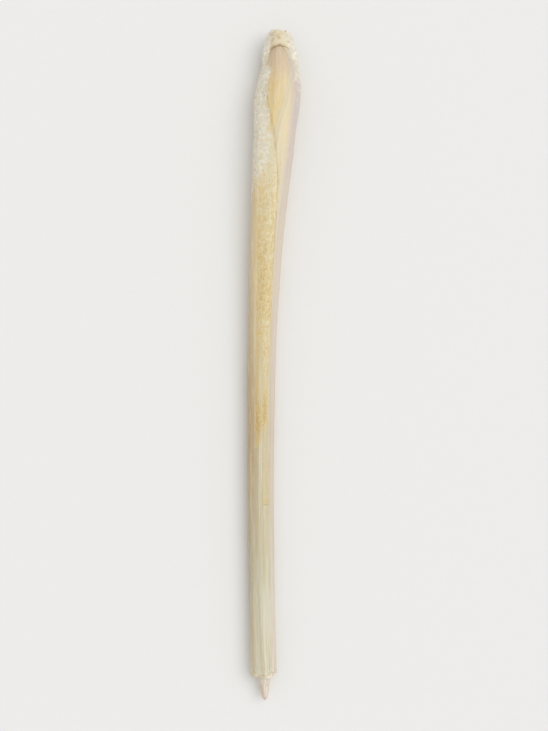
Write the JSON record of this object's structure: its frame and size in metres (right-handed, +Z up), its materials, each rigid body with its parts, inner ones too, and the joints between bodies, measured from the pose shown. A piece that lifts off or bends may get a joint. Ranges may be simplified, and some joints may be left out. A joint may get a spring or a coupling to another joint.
{
  "type": "lemongrass stalk",
  "caption": "Trimmed lemongrass stalk lying down, with a swollen root end, rolled leaf sheaths that overlap along its length, and a young shoot standing out of the cut leaf end.",
  "frame": {"origin": "middle of the surface under the stalk: the bottom centre of its bounding box", "axes": "+Y along the stalk towards the cut root end, +Z up from the surface it lies on"},
  "size_m": [0.0158, 0.2, 0.012],
  "materials": {
    "stem_base": "pale cream culm, matt, with darker node rings and root scars",
    "outer_sheath": "straw yellow leaf sheath with fine parallel veins, slightly moist, frosted in places",
    "second_sheath": "warmer yellow leaf sheath with fine parallel veins, slightly moist",
    "inner_shoot": "pale pinkish cream rolled young leaf, slightly moist"
  },
  "bodies": {
    "root": {"stem_base": "stem_base", "outer_sheath": "outer_sheath", "second_sheath": "second_sheath", "inner_shoot": "inner_shoot"}
  },
  "joints": []
}
